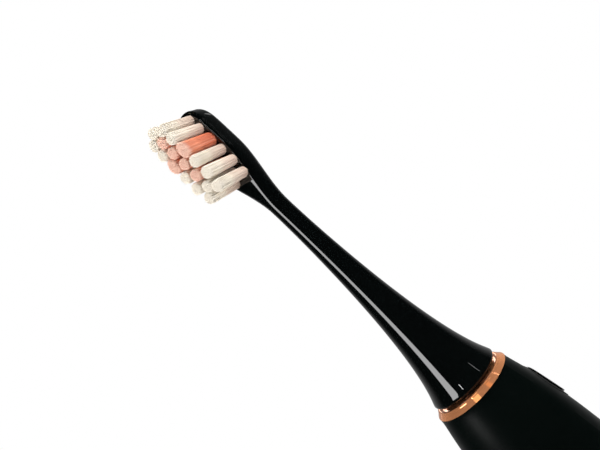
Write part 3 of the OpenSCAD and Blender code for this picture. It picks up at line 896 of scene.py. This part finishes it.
    def build(self) -> None:
        """Build the shell and the tufts, and dress the inner pieces."""
        self.build_shell()
        self.build_tufts(Row.WHITE, "tufts_white")
        self.build_tufts(Row.PINK, "tufts_pink")
        self.dress("head_socket", "head_clip", "tuft_anchors")


@dataclass
class Handle(SubAssembly):
    """The handle: soft-touch shell, metal collar, foot cap, seals and button gasket."""

    body: str = "handle"

    def build(self) -> None:
        """Dress the handle's outer pieces."""
        self.dress("handle_shell", "bottom_cap", "cap_seal", "collar_ring", "shaft_seal", "button_gasket",
                   "charge_lens", "power_button")


@dataclass
class Works(SubAssembly):
    """Everything inside the handle: motor, power pack and boards."""

    body: str = "handle"

    def build(self) -> None:
        """Dress the inner pieces."""
        self.dress("receive_bobbin", "receive_coil", "chassis", "battery_cell", "battery_tabs", "battery_pad",
                   "main_board", "board_parts", "board_screws", "switch_board", "tact_switch", "board_link",
                   "status_led", "motor_frame", "front_bearing", "rear_bearing", "stator_poles", "stator_coil",
                   "stator_leads", "drive_shaft", "rotor_core", "rotor_magnets")


@dataclass
class Charger(SubAssembly):
    """The charger: shell with its post, base, foot ring and what is inside."""

    body: str = "charger"

    def build(self) -> None:
        """Dress the charger."""
        self.dress("charger_shell", "charger_base", "charger_foot_ring", "charger_ferrite", "charger_coil",
                   "charger_board", "charger_board_parts", "charger_screws", "cable_gland")


# ------------------------------------------------------------------ studio
@dataclass
class SoftBox:
    """An area light aimed at the head: azimuth and elevation in degrees, distance and sizes in metres.

    A light that isn't mirrored leaves no reflection in gloss.
    """

    name: str
    azimuth: float
    elevation: float
    distance: float
    width: float
    height: float
    power: float
    colour: Colour = (1.0, 1.0, 1.0)
    mirrored: bool = True


@dataclass
class Studio:
    """Camera, soft lights, pale floor and white surround."""

    camera_reach: float = 111.7 * MM
    camera_azimuth: float = -54.97
    camera_rise: float = 33.79 * MM
    view_azimuth: float = 125.13
    view_elevation: float = 7.05
    roll: float = -46.69
    lens: float = 31.8
    sensor: float = 36.0
    clip_near: float = 5 * MM
    shift: tuple[float, float] = (0.0008, 0.001)
    aim_rise: float = 30 * MM
    dark_until: float = 0.2
    room_dark: float = 0.004
    room_bright: float = 0.36
    floor_fade: tuple[float, float] = (0.09, 0.24)
    floor_radii: tuple[float, ...] = (0.0, 0.2, 0.6, 3.0, 12.0)
    floor_sides: int = 96
    floor_tone: Colour = (0.86, 0.86, 0.86)
    floor_roughness: float = 0.9
    boxes: list[SoftBox] = field(default_factory=lambda: [
        SoftBox("window", -111, 17, 0.6, 0.22, 0.38, 1.45),
        SoftBox("edge slit", -78, 27, 0.6, 0.012, 0.1, 0.07),
        SoftBox("slit", -5, 24, 0.7, 0.01, 0.2, 0.03),
        SoftBox("far slit", 35, 24, 0.7, 0.01, 0.2, 0.03),
        SoftBox("collar window", -76, 67, 0.7, 0.16, 0.12, 0.08, colour=(1.0, 0.93, 0.62)),
        SoftBox("collar glint", 36, 49, 0.7, 0.012, 0.14, 0.016),
        SoftBox("far collar glint", 65, 32, 0.7, 0.03, 0.06, 0.006),
        SoftBox("warm glint", 2, 61, 0.7, 0.12, 0.07, 0.014, colour=(1.0, 0.62, 0.22)),
        SoftBox("rim slit", 155, 9, 0.7, 0.05, 0.12, 0.02),
        SoftBox("back window", 125, 20, 0.9, 0.22, 0.5, 0.7),
        SoftBox("left fill", -125, 2, 0.7, 0.4, 0.4, 2.6, mirrored=False),
        SoftBox("front fill", 8, 38, 0.7, 0.6, 0.6, 6.5, mirrored=False),
        SoftBox("top fill", 60, 75, 0.7, 0.6, 0.6, 4.0, mirrored=False),
        SoftBox("back fill", 90, 30, 0.9, 0.6, 0.6, 3.0, mirrored=False),
    ])

    def aim(self, direction: Vector, roll: float = 0.0) -> Matrix:
        """Return the rotation that looks along a direction, rolled in degrees."""
        turn = direction.to_track_quat("-Z", "Y").to_matrix().to_4x4()
        return turn @ Matrix.Rotation(math.radians(roll), 4, "Z")

    def direction(self, azimuth: float, elevation: float) -> Vector:
        """Return the unit vector at an azimuth and elevation in degrees."""
        a, e = math.radians(azimuth), math.radians(elevation)
        return Vector((math.cos(a) * math.cos(e), math.sin(a) * math.cos(e), math.sin(e)))

    def build_camera(self) -> None:
        """Make the camera, close to the head and rolled."""
        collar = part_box("collar_ring")[0].z
        flat = self.direction(self.camera_azimuth, 0) * self.camera_reach
        data = bpy.data.cameras.new("camera")
        data.lens, data.sensor_width, data.clip_start = self.lens, self.sensor, self.clip_near
        data.shift_x, data.shift_y = self.shift
        camera = bpy.data.objects.new("camera", data)
        look = self.aim(self.direction(self.view_azimuth, self.view_elevation), self.roll)
        camera.matrix_world = Matrix.Translation((flat.x, flat.y, collar + self.camera_rise)) @ look
        bpy.context.scene.collection.objects.link(camera)
        bpy.context.scene.camera = camera

    def build_lights(self) -> None:
        """Make the soft boxes, aimed at the head."""
        centre = Vector((0, 0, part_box("collar_ring")[1].z + self.aim_rise))
        for box in self.boxes:
            data = bpy.data.lights.new(box.name, "AREA")
            data.shape, data.size, data.size_y = "RECTANGLE", box.width, box.height
            data.energy, data.color = box.power, box.colour
            lamp = bpy.data.objects.new(box.name, data)
            lamp.visible_glossy = box.mirrored
            lamp.visible_camera = False
            away = self.direction(box.azimuth, box.elevation)
            lamp.matrix_world = Matrix.Translation(centre + away * box.distance) @ self.aim(-away)
            bpy.context.scene.collection.objects.link(lamp)

    def room_tone(self, tree: bpy.types.NodeTree, place: bpy.types.NodeSocket) -> bpy.types.NodeSocket:
        """Return how bright the room is towards a place: dark behind the camera, pale behind the object.

        Args:
            tree: node tree that receives the nodes.
            place: socket that holds the place.

        Returns:
            The brightness.
        """
        unit = add_node(tree, "ShaderNodeVectorMath", {"operation": "NORMALIZE"})
        tree.links.new(place, unit.inputs[0])
        away = add_node(tree, "ShaderNodeVectorMath", {"operation": "DOT_PRODUCT"})
        tree.links.new(unit.outputs[0], away.inputs[0])
        away.inputs[1].default_value = self.direction(self.view_azimuth, 0)
        tone = add_node(tree, "ShaderNodeMapRange", {"interpolation_type": "SMOOTHSTEP"},
                        Value=away.outputs["Value"], From_Min=self.dark_until, From_Max=1.0,
                        To_Min=self.room_dark, To_Max=self.room_bright)
        return tone.outputs["Result"]

    def build_surround(self) -> None:
        """Make the white surround: bright to the eye, soft grey in reflections."""
        world = bpy.data.worlds.new("surround")
        world.use_nodes = True
        tree = world.node_tree
        tree.nodes.clear()
        path = add_node(tree, "ShaderNodeLightPath").outputs
        seen = self.room_tone(tree, add_node(tree, "ShaderNodeTexCoord").outputs["Generated"])
        strength = add_node(tree, "ShaderNodeMix", Factor=path["Is Camera Ray"], A=seen, B=1.0)
        back = add_node(tree, "ShaderNodeBackground", Color=WHITE,
                        Strength=strength.outputs["Result"])
        out = add_node(tree, "ShaderNodeOutputWorld")
        tree.links.new(back.outputs[0], out.inputs["Surface"])
        bpy.context.scene.world = world

    def build_floor(self) -> None:
        """Make the plain pale floor."""
        mesh = bmesh.new()
        add_rings(mesh, [circle_ring(r, 0.0, self.floor_sides) for r in self.floor_radii])
        m = MaterialTree("pale_floor")
        m.feed(Base_Color=shade(self.floor_tone, 1.0), Roughness=self.floor_roughness, Specular_IOR_Level=0.0)
        path = add_node(m.tree, "ShaderNodeLightPath").outputs
        reach = add_node(m.tree, "ShaderNodeVectorMath", {"operation": "LENGTH"})
        place = add_node(m.tree, "ShaderNodeNewGeometry").outputs["Position"]
        m.tree.links.new(place, reach.inputs[0])
        far = add_node(m.tree, "ShaderNodeMapRange", {"interpolation_type": "SMOOTHSTEP"},
                       Value=reach.outputs["Value"], From_Min=self.floor_fade[0], From_Max=self.floor_fade[1])
        white = add_node(m.tree, "ShaderNodeEmission", Color=WHITE, Strength=1.0)
        dark = add_node(m.tree, "ShaderNodeEmission", Color=WHITE,
                        Strength=self.room_tone(m.tree, place))
        out = next(n for n in m.tree.nodes if n.type == "OUTPUT_MATERIAL")
        pale = add_node(m.tree, "ShaderNodeMixShader")
        plug(m.tree, m.math("MULTIPLY", far.outputs["Result"], path["Is Camera Ray"]), pale.inputs[0])
        m.tree.links.new(m.shader.outputs[0], pale.inputs[1])
        m.tree.links.new(white.outputs[0], pale.inputs[2])
        last = add_node(m.tree, "ShaderNodeMixShader")
        plug(m.tree, path["Is Glossy Ray"], last.inputs[0])
        m.tree.links.new(pale.outputs[0], last.inputs[1])
        m.tree.links.new(dark.outputs[0], last.inputs[2])
        m.tree.links.new(last.outputs[0], out.inputs["Surface"])
        data = bpy.data.meshes.new("floor")
        mesh.to_mesh(data)
        mesh.free()
        data.materials.append(m.material)
        floor = bpy.data.objects.new("floor", data)
        bpy.context.scene.collection.objects.link(floor)

    def build(self) -> None:
        """Make the whole studio."""
        self.build_camera()
        self.build_lights()
        self.build_surround()
        self.build_floor()
        bpy.context.scene.view_settings.view_transform = "Standard"


def main() -> None:
    """Build the studio and every sub-assembly in order."""
    logging.basicConfig(level=logging.INFO, format="%(name)s: %(message)s")
    Studio().build()
    for part in (BrushHead(), Handle(), Works(), Charger()):
        part.build()


if __name__ == "__main__":
    main()
